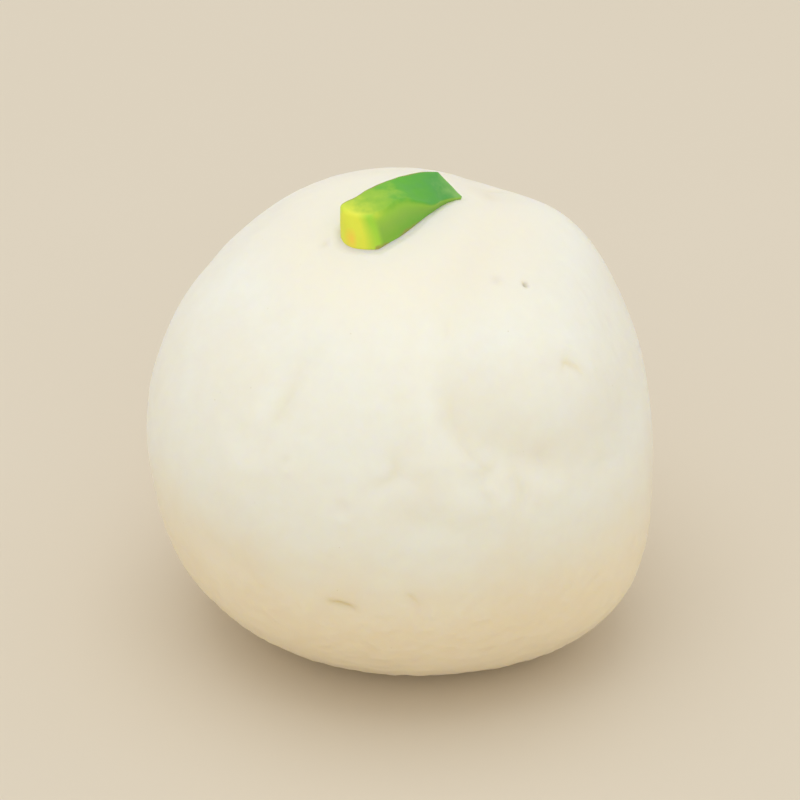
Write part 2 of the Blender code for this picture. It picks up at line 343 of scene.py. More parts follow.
def linear(hex_colour: str) -> tuple[float, float, float, float]:
    """Turns an sRGB colour written as #RRGGBB into the linear values that a shader takes.

    Args:
        hex_colour: The colour.

    Returns:
        Red, green, blue and an alpha of 1.
    """
    channels = [int(hex_colour[i : i + 2], 16) / 255 for i in (1, 3, 5)]
    red, green, blue = (c / 12.92 if c <= 0.04045 else ((c + 0.055) / 1.055) ** 2.4 for c in channels)
    return red, green, blue, 1.0


def cells(size: float) -> float:
    """The scale that gives a pattern cells of that many millimetres, on coordinates in metres."""
    return 1 / (size * MM)


def add_node(
    tree: bpy.types.NodeTree,
    kind: str,
    settings: Optional[dict[Any, Any]] = None,
    links: Optional[dict[Any, Socket]] = None,
    stops: Sequence[tuple[float, str]] = (),
) -> bpy.types.Node:
    """Adds a node with its settings and links.

    Args:
        tree: The node tree that gets it.
        kind: Blender's name for the node.
        settings: Values by the name of a property, or the name or number of an input.
        links: Output sockets by the name or number of the input that each feeds.
        stops: Places and colours on the node's colour ramp.

    Returns:
        The new node.
    """
    node = tree.nodes.new(kind)
    for key, value in (settings or {}).items():
        if isinstance(key, int) or key in node.inputs:
            node.inputs[key].default_value = value
        else:
            setattr(node, key, value)
    for key, socket in (links or {}).items():
        tree.links.new(socket, node.inputs[key])
    for index, (place, colour) in enumerate(stops):
        elements = node.color_ramp.elements
        element = elements[index] if index < 2 else elements.new(place)
        element.position = place
        element.color = linear(colour)
    return node


def new_material(
    name: str, settings: dict[str, Any]
) -> tuple[bpy.types.Material, bpy.types.NodeTree, bpy.types.Node]:
    """Makes a material with only a shader and an output.

    Args:
        name: Its name.
        settings: The shader's values by the names of its inputs.

    Returns:
        The material, its node tree and its Principled shader.
    """
    material = bpy.data.materials.new(name)
    material.use_nodes = True
    tree = material.node_tree
    tree.nodes.clear()
    shader = add_node(tree, "ShaderNodeBsdfPrincipled", settings)
    add_node(tree, "ShaderNodeOutputMaterial", links={"Surface": shader.outputs["BSDF"]})
    return material, tree, shader


def make_object(name: str, bm: bmesh.types.BMesh, points: Array) -> bpy.types.Object:
    """Makes a smooth mesh object.

    Args:
        name: Its name.
        bm: Its faces.
        points: Its vertices' places, in millimetres.

    Returns:
        The object, linked to the scene.
    """
    mesh = bpy.data.meshes.new(name)
    bmesh.ops.recalc_face_normals(bm, faces=bm.faces[:])
    bm.to_mesh(mesh)
    bm.free()
    mesh.vertices.foreach_set("co", (points * MM).astype(np.float32).ravel())
    mesh.shade_smooth()
    mesh.update()
    item = bpy.data.objects.new(name, mesh)
    bpy.context.scene.collection.objects.link(item)
    return item


def mark_points(item: bpy.types.Object, name: str, values: Array) -> None:
    """Stores one number for each vertex, for the material to read.

    Args:
        item: The object.
        name: The attribute's name.
        values: A number for each vertex.
    """
    attribute = item.data.attributes.new(name, "FLOAT", "POINT")
    attribute.data.foreach_set("value", values.astype(np.float32))


@dataclass(frozen=True)
class ChhenaSponge:
    """Chhena: milk curdled, drained and kneaded smooth, then poached in thin syrup.

    To the eye it is off-white and softly translucent. Light goes a few millimetres into it, so small
    relief looks blurred. A thin film of syrup gives it a satin gleam with no hard spots. Folds are yellowish
    and darker: syrup gathered there, and painted shade. The base is cream: syrup soaked in, and a painted
    warm reflection from below. The crown is a little creamier. Pits get painted grey shade, and pin holes
    painted brownish shade.

    Sizes and heights are in millimetres. A level is the value of a pattern, from 0 to 1, at which the
    colour or the roughness beside it is reached.
    """

    milk_white: str = "#FBF6E9"
    curd: str = "#F8F2E3"
    milk_level: float = 0.62
    curd_level: float = 0.36
    # Cream low on the ball: syrup soaked in, and a painted warm reflection from below
    base_syrup_and_reflection: str = "#F2DDB2"
    syrup_and_reflection_below: tuple[float, float] = (23.0, 9.0)
    syrup_and_reflection_share: float = 0.62
    syrup_and_reflection_edge: float = 4.0
    # A little creamier on the crown
    crown_cream: str = "#F8F0DE"
    crown_cream_above: tuple[float, float] = (35.5, 39.5)
    # Yellow in folds: syrup gathered there, and painted shade
    fold_syrup_and_shade: str = "#D9D08C"
    # Grey painted shade in open pits
    painted_pit_shade: str = "#9A9A94"
    mottle_size: float = 7.0
    curd_size: float = 1.6
    curd_share: float = 0.35
    # Brownish painted shade in the tiny pores of the pin holes
    pin_hole_shade: str = "#C6B380"
    pin_hole_spacing: float = 2.6
    pin_hole_radius: float = 0.08
    pin_hole_core: float = 0.3
    pin_hole_shade_share: float = 0.4
    grain_size: float = 0.45
    grain_height: float = 0.02
    grain_strength: float = 0.5
    refraction: float = 1.4
    light_share: float = 0.8
    light_depth: float = 3.2
    light_spread: tuple[float, float, float] = (1.0, 0.92, 0.5)
    satin: tuple[float, float] = (0.36, 0.52)
    satin_levels: tuple[float, float] = (0.3, 0.7)
    film: float = 0.12
    film_roughness: float = 0.3
    film_refraction: float = 1.38

    def material(self) -> bpy.types.Material:
        """Builds the material.

        Returns:
            The material for the ball.
        """
        settings = {
            "IOR": self.refraction,
            "Subsurface Weight": self.light_share,
            "Subsurface Radius": self.light_spread,
            "Subsurface Scale": self.light_depth * MM,
            "Coat Weight": self.film,
            "Coat Roughness": self.film_roughness,
            "Coat IOR": self.film_refraction,
        }
        material, tree, shader = new_material("Chhena sponge, kneaded and poached in syrup", settings)
        place = add_node(tree, "ShaderNodeTexCoord").outputs["Object"]
        colour = self.shade_and_syrup_marks(tree, place, self.body_colour(tree, place))
        tree.links.new(colour, shader.inputs["Base Color"])
        patches = add_node(
            tree, "ShaderNodeTexNoise", {"Scale": cells(self.mottle_size), "Detail": 3.0}, {"Vector": place}
        )
        smoothest, roughest = self.satin
        low, high = self.satin_levels
        roughness = add_node(
            tree, "ShaderNodeMapRange",
            {"From Min": low, "From Max": high, "To Min": smoothest, "To Max": roughest},
            {"Value": patches.outputs["Fac"]},
        )
        tree.links.new(roughness.outputs["Result"], shader.inputs["Roughness"])
        tree.links.new(self.bumps(tree, place), shader.inputs["Normal"])
        return material

    def body_colour(self, tree: bpy.types.NodeTree, place: Socket) -> Socket:
        """Mixes milk white and curd in soft patches, with syrup and a painted warm reflection low down, and
        a creamier crown.

        Args:
            tree: The material's nodes.
            place: Coordinates in metres.

        Returns:
            The colour.
        """
        patches = add_node(
            tree, "ShaderNodeTexNoise", {"Scale": cells(self.mottle_size), "Detail": 4.0}, {"Vector": place}
        )
        curds = add_node(
            tree, "ShaderNodeTexNoise", {"Scale": cells(self.curd_size), "Detail": 3.0}, {"Vector": place}
        )
        both = add_node(
            tree, "ShaderNodeMix", {0: self.curd_share}, {2: patches.outputs["Fac"], 3: curds.outputs["Fac"]}
        )
        milk = add_node(
            tree, "ShaderNodeValToRGB", links={"Fac": both.outputs[0]},
            stops=((self.curd_level, self.curd), (self.milk_level, self.milk_white)),
        )
        height = add_node(tree, "ShaderNodeSeparateXYZ", links={"Vector": place}).outputs["Z"]
        uneven = add_node(
            tree, "ShaderNodeMath", {"operation": "MULTIPLY_ADD", 1: self.syrup_and_reflection_edge * MM},
            {0: patches.outputs["Fac"], 2: height},
        )
        # The base is cream: syrup soaked in, and a painted warm reflection from below
        start, end = (level + self.syrup_and_reflection_edge / 2 for level in self.syrup_and_reflection_below)
        syrup_and_reflection = add_node(
            tree, "ShaderNodeMapRange",
            {
                "interpolation_type": "SMOOTHSTEP",
                "From Min": start * MM,
                "From Max": end * MM,
                "To Max": self.syrup_and_reflection_share,
            },
            {"Value": uneven.outputs[0]},
        )
        mixed = add_node(
            tree, "ShaderNodeMix", {"data_type": "RGBA", MIX_B: linear(self.base_syrup_and_reflection)},
            {0: syrup_and_reflection.outputs["Result"], MIX_A: milk.outputs["Color"]},
        )
        # The crown is made a little creamier
        start, end = self.crown_cream_above
        crown = add_node(
            tree, "ShaderNodeMapRange",
            {"interpolation_type": "SMOOTHSTEP", "From Min": start * MM, "From Max": end * MM},
            {"Value": height},
        )
        creamier_crown = add_node(
            tree, "ShaderNodeMix", {"data_type": "RGBA", MIX_B: linear(self.crown_cream)},
            {0: crown.outputs["Result"], MIX_A: mixed.outputs[MIX_RESULT]},
        )
        return creamier_crown.outputs[MIX_RESULT]

    def shade_and_syrup_marks(self, tree: bpy.types.NodeTree, place: Socket, colour: Socket) -> Socket:
        """Adds syrup yellow and painted shade to folds, painted grey shade to pits and painted brownish
        shade to pin holes.

        Args:
            tree: The material's nodes.
            place: Coordinates in metres.
            colour: The colour so far.

        Returns:
            The colour with the syrup and the painted shade.
        """
        # Folds get syrup yellow with painted shade, pits get painted grey shade
        for mark, shade in (("hollow", self.fold_syrup_and_shade), ("bubble", self.painted_pit_shade)):
            share = add_node(tree, "ShaderNodeAttribute", {"attribute_name": mark}).outputs["Fac"]
            mixed = add_node(
                tree, "ShaderNodeMix", {"data_type": "RGBA", MIX_B: linear(shade)},
                {0: share, MIX_A: colour},
            )
            colour = mixed.outputs[MIX_RESULT]
        # Pin holes get painted brownish shade, as in tiny pores
        holes = add_node(
            tree, "ShaderNodeTexVoronoi", {"Scale": cells(self.pin_hole_spacing)}, {"Vector": place}
        )
        near = add_node(
            tree, "ShaderNodeMapRange",
            {
                "interpolation_type": "SMOOTHSTEP",
                "From Min": self.pin_hole_radius / self.pin_hole_spacing,
                "From Max": self.pin_hole_core * self.pin_hole_radius / self.pin_hole_spacing,
                "To Max": self.pin_hole_shade_share,
            },
            {"Value": holes.outputs["Distance"]},
        )
        pricked = add_node(
            tree, "ShaderNodeMix", {"data_type": "RGBA", MIX_B: linear(self.pin_hole_shade)},
            {0: near.outputs["Result"], MIX_A: colour},
        )
        return pricked.outputs[MIX_RESULT]

    def bumps(self, tree: bpy.types.NodeTree, place: Socket) -> Socket:
        """Adds the fine grain of pressed curd, too small for the mesh.

        Args:
            tree: The material's nodes.
            place: Coordinates in metres.

        Returns:
            The bent normal.
        """
        grain = add_node(
            tree, "ShaderNodeTexNoise", {"Scale": cells(self.grain_size), "Detail": 3.0, "Roughness": 0.55},
            {"Vector": place},
        )
        bump = add_node(
            tree, "ShaderNodeBump", {"Strength": self.grain_strength, "Distance": self.grain_height * MM},
            {"Height": grain.outputs["Fac"]},
        )
        return bump.outputs["Normal"]


@dataclass(frozen=True)
class PistachioKernel:
    """A green pistachio kernel cut into a sliver with a knife.

    To the eye the cut faces are matt and a little waxy. The heart of the kernel is yellow, almost orange
    at its middle, and turns lime and then leaf green towards its outside. The long side, cut closer to
    the skin, is a softer olive green. Scraps of thin brownish skin stay along the edges. Sizes are in
    millimetres.
    """

    heart: str = "#FFD84E"
    yellow: str = "#E8EC45"
    end_lime: str = "#A8DA38"
    lime: str = "#A3CC34"
    leaf: str = "#62B42C"
    far_leaf: str = "#57A846"
    tip: str = "#84BC5C"
    side_above: str = "#A0D03E"
    side: str = "#8DBC42"
    side_below: str = "#78B534"
    skin: str = "#A08F48"
    skin_from: float = 0.25
    skin_full: float = 0.5
    skin_cover: float = 0.75
    mottle_size: float = 1.3
    mottle_share: float = 0.35
    fibre_size: float = 0.35
    fibre_height: float = 0.04
    fibre_strength: float = 0.5
    roughness: float = 0.5
    refraction: float = 1.45
    light_share: float = 0.35
    light_depth: float = 0.7
    light_spread: tuple[float, float, float] = (0.9, 1.0, 0.3)

    def material(self) -> bpy.types.Material:
        """Builds the material.

        Returns:
            The material for the sliver.
        """
        settings = {
            "Roughness": self.roughness,
            "IOR": self.refraction,
            "Subsurface Weight": self.light_share,
            "Subsurface Radius": self.light_spread,
            "Subsurface Scale": self.light_depth * MM,
        }
        material, tree, shader = new_material("Pistachio kernel, cut with a knife", settings)
        place = add_node(tree, "ShaderNodeTexCoord").outputs["Object"]
        mottle = add_node(
            tree, "ShaderNodeTexNoise", {"Scale": cells(self.mottle_size), "Detail": 4.0}, {"Vector": place}
        ).outputs["Fac"]
        colour = self.skinned(tree, mottle, self.hearted(tree, self.length_colour(tree, mottle)))
        tree.links.new(colour, shader.inputs["Base Color"])
        fibre = add_node(
            tree, "ShaderNodeTexNoise", {"Scale": cells(self.fibre_size), "Detail": 3.0}, {"Vector": place}
        )
        bump = add_node(
            tree, "ShaderNodeBump", {"Strength": self.fibre_strength, "Distance": self.fibre_height * MM},
            {"Height": fibre.outputs["Fac"]},
        )
        tree.links.new(bump.outputs["Normal"], shader.inputs["Normal"])
        return material

    def length_colour(self, tree: bpy.types.NodeTree, mottle: Socket) -> Socket:
        """Turns yellow to green along the sliver, and softer green down its front side.

        Args:
            tree: The material's nodes.
            mottle: Noise that makes the change uneven.

        Returns:
            The colour.
        """
        along = add_node(tree, "ShaderNodeAttribute", {"attribute_name": "along"}).outputs["Fac"]
        uneven = add_node(
            tree, "ShaderNodeMath", {"operation": "MULTIPLY_ADD", 1: self.mottle_share},
            {0: mottle, 2: along},
        )
        above = add_node(
            tree, "ShaderNodeValToRGB", links={"Fac": uneven.outputs[0]},
            stops=(
                (0.2, self.yellow),
                (1.0, self.tip),
                (0.42, self.lime),
                (0.62, self.leaf),
                (0.86, self.far_leaf),
            ),
        )
        low = add_node(tree, "ShaderNodeAttribute", {"attribute_name": "low"}).outputs["Fac"]
        beside = add_node(
            tree, "ShaderNodeValToRGB", links={"Fac": low},
            stops=((0.1, self.side_above), (0.75, self.side_below), (0.45, self.side)),
        )
        front = add_node(tree, "ShaderNodeAttribute", {"attribute_name": "front"}).outputs["Fac"]
        mixed = add_node(
            tree, "ShaderNodeMix", {"data_type": "RGBA"},
            {0: front, MIX_A: above.outputs["Color"], MIX_B: beside.outputs["Color"]},
        )
        return mixed.outputs[MIX_RESULT]

    def hearted(self, tree: bpy.types.NodeTree, colour: Socket) -> Socket:
        """Colours the cut end, where the kernel's heart shows.

        Args:
            tree: The material's nodes.
            colour: The colour so far.

        Returns:
            The colour with the heart.
        """
        heart = add_node(tree, "ShaderNodeAttribute", {"attribute_name": "heart"}).outputs["Fac"]
        rings = add_node(
            tree, "ShaderNodeValToRGB", links={"Fac": heart},
            stops=((0.08, self.end_lime), (1.0, self.heart), (0.5, self.yellow), (0.75, self.yellow)),
        )
        end = add_node(tree, "ShaderNodeAttribute", {"attribute_name": "end"}).outputs["Fac"]
        mixed = add_node(
            tree, "ShaderNodeMix", {"data_type": "RGBA"},
            {0: end, MIX_A: colour, MIX_B: rings.outputs["Color"]},
        )
        return mixed.outputs[MIX_RESULT]

    def skinned(self, tree: bpy.types.NodeTree, mottle: Socket, colour: Socket) -> Socket:
        """Leaves scraps of skin along the edges.

        Args:
            tree: The material's nodes.
            mottle: Noise that breaks the skin up.
            colour: The colour so far.

        Returns:
            The colour with the skin.
        """
        edge = add_node(tree, "ShaderNodeAttribute", {"attribute_name": "skin"}).outputs["Fac"]
        broken = add_node(tree, "ShaderNodeMath", {"operation": "MULTIPLY"}, {0: edge, 1: mottle})
        scraps = add_node(
            tree, "ShaderNodeMapRange",
            {
                "interpolation_type": "SMOOTHSTEP",
                "From Min": self.skin_from,
                "From Max": self.skin_full,
                "To Max": self.skin_cover,
            },
            {"Value": broken.outputs[0]},
        )
        mixed = add_node(
            tree, "ShaderNodeMix", {"data_type": "RGBA", MIX_B: linear(self.skin)},
            {0: scraps.outputs["Result"], MIX_A: colour},
        )
        return mixed.outputs[MIX_RESULT]


@dataclass(frozen=True)
class PaintedBoard:
    """A board with matt paint: pale, even, with no gleam of its own; its patches are in millimetres."""

    colour: str = "#DDD1BB"
    worn: str = "#E0D5C1"
    patch_size: float = 60.0
    roughness: float = 0.8

    def material(self) -> bpy.types.Material:
        """Builds the material.

        Returns:
            The material for the floor.
        """
        material, tree, shader = new_material("Matt painted board", {"Roughness": self.roughness})
        place = add_node(tree, "ShaderNodeTexCoord").outputs["Object"]
        tint = add_node(
            tree, "ShaderNodeTexNoise", {"Scale": cells(self.patch_size), "Detail": 2.0}, {"Vector": place}
        )
        colour = add_node(
            tree, "ShaderNodeMix",
            {"data_type": "RGBA", MIX_A: linear(self.colour), MIX_B: linear(self.worn)},
            {0: tint.outputs["Fac"]},
        )
        tree.links.new(colour.outputs[MIX_RESULT], shader.inputs["Base Color"])
        return material


@dataclass
class Sliver:
    """The pistachio sliver: a block on the crown with a cut end, a lower tip and a leaning front side.

    Sizes are in millimetres. The kernel's heart, side and skin are placed by shares of the sliver: -1 to 1
    along and across it, and 0 to 1 from its underside to its top. The heart fades at its own rate to the
    front, to the back, and up and down.
    """

    centre: tuple[float, float] = (-0.2, -0.5)
    turn: float = math.radians(38.5)
    thickness: float = 2.4
    press: float = 0.2
    blunt_reach: float = 6.15
    blunt_lean: float = 1.55
    blunt_bow: tuple[float, float] = (1.4, 0.6)
    blunt_skew: float = 0.25
    tip_reach: float = 6.2
    tip_skew: float = 0.7
    tip_drop: float = 0.5
    tip_span: tuple[float, float] = (3.4, 6.8)
    front_stand: float = -3.0
    front_taper: float = 2.45
    front_span: tuple[float, float] = (-2.5, 6.6)
    front_lean: float = 1.9
    front_drop: float = 1.5
    front_drop_span: tuple[float, float] = (-1.0, 3.5)
    back_stand: float = 2.1
    back_taper: float = 0.55
    back_span: tuple[float, float] = (1.2, 5.5)
    edge: float = 0.24
    sunk: float = 0.25
    steps: int = 48
    crowding: float = 0.65
    unevenness: float = 0.07
    unevenness_size: float = 1.1
    unevenness_offsets: tuple[tuple[float, float, float], ...] = ((0, 0, 0), (19, 7, 31), (5, 37, 13))
    unevenness_below: float = 0.2
    length_share: float = 0.8
    side_face: tuple[float, float] = (0.55, 0.95)
    side_top: tuple[float, float] = (0.75, 1.0)
    side_share: float = 0.85
    cut_end: tuple[float, float] = (0.86, 0.97)
    heart_place: float = -0.2
    heart_rise: float = 0.35
    heart_reach: float = 2.6
    heart_fade: tuple[float, float, float] = (2.9, 1.2, 1.9)
    skin_behind: tuple[float, float] = (0.7, 0.95)
    skin_above: tuple[float, float] = (0.7, 1.0)
    skin_before: tuple[float, float] = (0.8, 1.0)
    skin_below: tuple[float, float] = (0.6, 0.9)
    finish: PistachioKernel = PistachioKernel()

    def plan(self, points: Array) -> tuple[Array, Array]:
        """Finds where points lie along and across the sliver.

        Args:
            points: Points given by X and Y.

        Returns:
            Distances along it and across it.
        """
        along = np.array((math.cos(self.turn), math.sin(self.turn)))
        across = np.array((-math.sin(self.turn), math.cos(self.turn)))
        offset = points[:, :2] - np.array(self.centre)
        return offset @ along, offset @ across

    def length(self) -> float:
        """Its length along its middle."""
        return self.blunt_reach + self.tip_reach

    def front(self, along: Array, rise: Any) -> Array:
        """Where its front side stands; it leans back as it rises, less so where it is low."""
        lean = self.front_lean * (1 - ramp(along, self.front_drop_span)) * rise
        return self.front_stand + self.front_taper * ramp(along, self.front_span) + lean

    def back(self, along: Array) -> Array:
        """Where its back side stands."""
        return self.back_stand - self.back_taper * ramp(along, self.back_span)

    def blunt_end(self, place: Array, rise: Any) -> Array:
        """Where its cut end stands, at a place of -1 (front) to 1 (back) across it."""
        bow = np.interp(rise, (0.0, 1.0), self.blunt_bow)
        return -self.blunt_reach + self.blunt_lean * rise + bow * place**2 - self.blunt_skew * place

    def tip(self, place: Array) -> Array:
        """Where its far end stands, at a place across it."""
        return self.tip_reach - self.tip_skew * place

    def height(self, along: Array, place: Array) -> Array:
        """Height of its top above its underside: lower towards the tip, and more so in front."""
        front_drop = self.front_drop * ramp(along, self.front_drop_span) * (1 - place) / 2
        return self.thickness - (self.tip_drop * ramp(along, self.tip_span) + front_drop)

    def distance(self, points: Array) -> Array:
        """Works out how far points of the ball lie from the sliver's foot.

        Args:
            points: Points about the ball's centre.

        Returns:
            Level distances past its sides and ends, 0 under it.
        """
        along, across = self.plan(points)
        front = self.front(along, 0.0)
        back = self.back(along)
        place = np.clip((across - front) / (back - front) * 2 - 1, -1, 1)
        past_ends = np.maximum(self.blunt_end(place, 0.0) - along, along - self.tip(place))
        past_sides = np.maximum(front - across, across - back)
        return np.hypot(np.maximum(past_ends, 0), np.maximum(past_sides, 0))

    def rounded_block(self) -> tuple[bmesh.types.BMesh, Array]:
        """Makes a cube of small faces, closer together near its rounded edges.

        Returns:
            The faces, and the vertices' places from -1 to 1.
        """
        bm = bmesh.new()
        bmesh.ops.create_cube(bm, size=2.0)
        bmesh.ops.subdivide_edges(bm, edges=bm.edges[:], cuts=self.steps - 1, use_grid_fill=True)
        cube = np.array([vertex.co[:] for vertex in bm.verts])
        cube = (1 - self.crowding) * cube + self.crowding * np.sin(cube * math.pi / 2)
        half = np.array((self.blunt_reach, (self.back_stand - self.front_stand) / 2, self.thickness / 2))
        points = cube * half
        inner = np.clip(points, self.edge - half, half - self.edge)
        out = points - inner
        points = inner + self.edge * out / np.linalg.norm(out, axis=1)[:, None]
        return bm, points / half

    def build(self, ball: Ball) -> bpy.types.Object:
        """Makes the sliver on the ball's crown.

        Args:
            ball: The ball that it is pressed into.

        Returns:
            The dressed piece.
        """
        bm, block = self.rounded_block()
        step, place, rise = block[:, 0], block[:, 1], (block[:, 2] + 1) / 2
        start = self.blunt_end(place, rise)
        along = start + (self.tip(place) - start) * (step + 1) / 2
        front = self.front(along, rise)
        across = front + (self.back(along) - front) * (place + 1) / 2
        x = self.centre[0] + along * math.cos(self.turn) - across * math.sin(self.turn)
        y = self.centre[1] + along * math.sin(self.turn) + across * math.cos(self.turn)
        directions = np.stack((x, y, np.sqrt(MEAN_RADIUS**2 - x**2 - y**2)), axis=1) / MEAN_RADIUS
        floor = ball.main_radius(directions) - self.press
        top = self.height(along, place)
        points = directions * (floor + top * rise - self.sunk * (1 - rise) ** 2)[:, None]
        points += self.rough(points, rise)
        item = make_object("pistachio_sliver", bm, ball.placed(points))
        mark_points(item, "along", self.length_share * (along + self.blunt_reach) / self.length())
        mark_points(item, "end", ramp(-step, self.cut_end))
        self.mark_kernel(item, place, rise)
        item.data.materials.append(self.finish.material())
        return item

    def mark_kernel(self, item: bpy.types.Object, place: Array, rise: Array) -> None:
        """Marks where the kernel's side, heart and skin show.

        Args:
            item: The sliver.
            place: Where its points lie across it, from -1 (front) to 1 (back).
            rise: 0 at the underside, 1 at the top.
        """
        side = ramp(-place, self.side_face) * (1 - ramp(rise, self.side_top)) * self.side_share
        mark_points(item, "front", side)
        mark_points(item, "low", 1 - rise)
        before, behind, upward = self.heart_fade
        aside = place - self.heart_place
        heart = np.hypot(np.where(aside < 0, before, behind) * aside, (rise - self.heart_rise) * upward)
        mark_points(item, "heart", 1 - np.clip(heart / self.heart_reach, 0, 1))
        upper_back = ramp(place, self.skin_behind) * ramp(rise, self.skin_above)
        lower_front = ramp(-place, self.skin_before) * ramp(1 - rise, self.skin_below)
        mark_points(item, "skin", np.maximum(upper_back, lower_front))

    def rough(self, points: Array, rise: Array) -> Array:
        """Works out small shifts that make the cut faces uneven.

        Blender's vector noise takes its offsets from the clock, so plain noise at three fixed offsets
        stands in for it.

        Args:
            points: Points about the ball's centre.
            rise: 0 at the underside, 1 at the top.

        Returns:
            A shift for each point, in millimetres.
        """
        offsets = [Vector(offset) for offset in self.unevenness_offsets]
        places = [Vector(p / self.unevenness_size) for p in points]
        shifts = np.array([[noise.noise(place + offset) for offset in offsets] for place in places])
        return self.unevenness * shifts * np.minimum(rise + self.unevenness_below, 1.0)[:, None]


@dataclass
class Ball:
    """The ball of chhena, with the sliver's seat and the flat foot that it rests on.

    Sizes are in millimetres. The layers of unevenness are given by how fast they weaken, how much finer
    each is than the last, and their number.
    """

    half_width: float = 22.1
    half_depth: float = 22.2
    half_height: float = 21.1
    foot_sink: float = 1.2
    foot_rounding: float = 0.5
    foot_from: float = -0.3
    upper_fullness: float = 2.0
    lower_fullness: float = 2.4
    sag_range: float = 0.5
    dimple_count: int = 70
    dimple_rise: float = 0.13
    dimple_spread: tuple[float, float] = (2.6, 4.6)
    dimple_seed: int = 11
    seat_press: float = 0.06
    seat_edge: tuple[float, float] = (0.0, 0.4)
    lip_rise: float = 0.08
    lip_place: float = 0.5
    lip_width: float = 1.1
    # The share of syrup yellow and painted shade that the creases get
    crease_syrup_and_shade: float = 0.12
    unevenness: float = 0.05
    unevenness_size: float = 3.2
    unevenness_layers: tuple[float, float, int] = (1.0, 2.1, 3)
    curd_rise: float = 0.01
    curd_size: float = 1.0
    crumb_rise: float = 0.1
    crumb_size: float = 1.1
    crumb_offset: tuple[float, float, float] = (7.0, 3.0, 5.0)
    crumb_below: tuple[float, float] = (17.5, 13.0)
    subdivisions: int = 7
    fine_place: tuple[float, float] = (1.0, -1.0)
    fine_reach: float = 25.0
    finest_pits: int = 2
    finest_reach: float = 1.1
    scatter: Scatter = Scatter(seed=345, pits=12, folds=12)
    finish: ChhenaSponge = ChhenaSponge()

    def __post_init__(self) -> None:
        """Starts with no shift; build works out the one that puts the ball's outline over the origin."""
        self.shift = np.zeros(3)

    def foot_depth(self) -> float:
        """How far the foot lies below the ball's centre."""
        return self.half_height - self.foot_sink

    def body_radius(self, directions: Array) -> Array:
        """Works out an ellipsoid whose lower half is fuller, as a soft ball sags under its own weight.

        Args:
            directions: Unit vectors of the points.

        Returns:
            Its radius at each of them.
        """
        level = np.hypot(directions[:, 0] / self.half_width, directions[:, 1] / self.half_depth)
        height = np.abs(directions[:, 2]) / self.half_height
        sag = eased(-directions[:, 2] / self.sag_range)
        fullness = self.upper_fullness + (self.lower_fullness - self.upper_fullness) * sag
        return (level**fullness + height**fullness) ** (-1 / fullness)

    def dimples(self, directions: Array) -> Array:
        """Works out the slight unevenness left by rolling between the palms.

        Args:
            directions: Unit vectors of the points.

        Returns:
            A height for each of them.
        """
        random = np.random.RandomState(self.dimple_seed)
        total = np.zeros(len(directions))
        for _ in range(self.dimple_count):
            centre = random.normal(size=3)
            rise = random.uniform(-self.dimple_rise, self.dimple_rise)
            spread = random.uniform(*self.dimple_spread)
            total += rise * patch(directions, centre / np.linalg.norm(centre), spread)
        return total

    def main_radius(self, directions: Array) -> Array:
        """Works out the main shape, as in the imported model, without seat and foot.

        Args:
            directions: Unit vectors of the points.

        Returns:
            Its radius at each of them.
        """
        radius = self.body_radius(directions) + self.dimples(directions)
        for swell in LOBES + LUMPS:
            radius += swell.height(directions)
        for crease in CREASES:
            radius -= crease.sunk(directions)
        return radius

    def fine_relief(self, directions: Array, radius: Array) -> tuple[Array, Array, Array]:
        """Works out pits, specks, tight folds and the curd's own unevenness.

        Args:
            directions: Unit vectors of the points.
            radius: Their main radius.

        Returns:
            The height that the relief adds, and how much of a fold and of a pit each point lies in.
        """
        pits, folds = self.scatter.draw()
        bubble = np.zeros(len(directions))
        for pit in PITS + tuple(pits):
            bubble -= pit.height(directions)
        hollow = np.zeros(len(directions))
        for fold in FINE_CREASES + tuple(folds):
            hollow += fold.sunk(directions)
        rise = -bubble - hollow
        for speck in SPECKS:
            rise += speck.height(directions)
        # The creases get syrup yellow and painted shade too
        for crease in CREASES:
            hollow += self.crease_syrup_and_shade * np.maximum(crease.sunk(directions), 0)
        points = directions * radius[:, None]
        low = 1 - ramp(points[:, 2] + self.foot_depth(), self.crumb_below[::-1])
        rise += self.curds(points, low)
        return rise, hollow, bubble

    def curds(self, points: Array, low: Array) -> Array:
        """Works out uneven curd all over and a coarser crumb low down.

        Args:
            points: Points about the ball's centre.
            low: 1 where the crumb shows, 0 where it doesn't.

        Returns:
            A height for each point.
        """
        waves = [noise.fractal(Vector(p / self.unevenness_size), *self.unevenness_layers) for p in points]
        curd = [noise.noise(Vector(p / self.curd_size)) for p in points]
        offset = Vector(self.crumb_offset)
        crumb = [noise.noise(Vector(p / self.crumb_size) + offset) for p in points]
        total = self.unevenness * np.array(waves) + self.curd_rise * np.array(curd)
        return total + self.crumb_rise * low * np.array(crumb)

    def sphere(self) -> tuple[bmesh.types.BMesh, Array]:
        """Makes a unit sphere with finer faces in front, and the finest round the first pits.

        Returns:
            The faces, and the vertices' directions.
        """
        bm = bmesh.new()
        bmesh.ops.create_icosphere(bm, subdivisions=self.subdivisions, radius=1.0)
        areas = [(facing(*self.fine_place), self.fine_reach)]
        areas += [(facing(pit.across, pit.up), self.finest_reach) for pit in PITS[: self.finest_pits]]
        for centre, reach in areas:
            aim = Vector(centre)
            nearest = math.cos(reach / MEAN_RADIUS)
            edges = [e for e in bm.edges if all(v.co.normalized().dot(aim) > nearest for v in e.verts)]
            bmesh.ops.subdivide_edges(bm, edges=edges, cuts=1, use_grid_fill=True)
        bmesh.ops.triangulate(bm, faces=bm.faces[:])
        return bm, np.array([vertex.co.normalized()[:] for vertex in bm.verts])

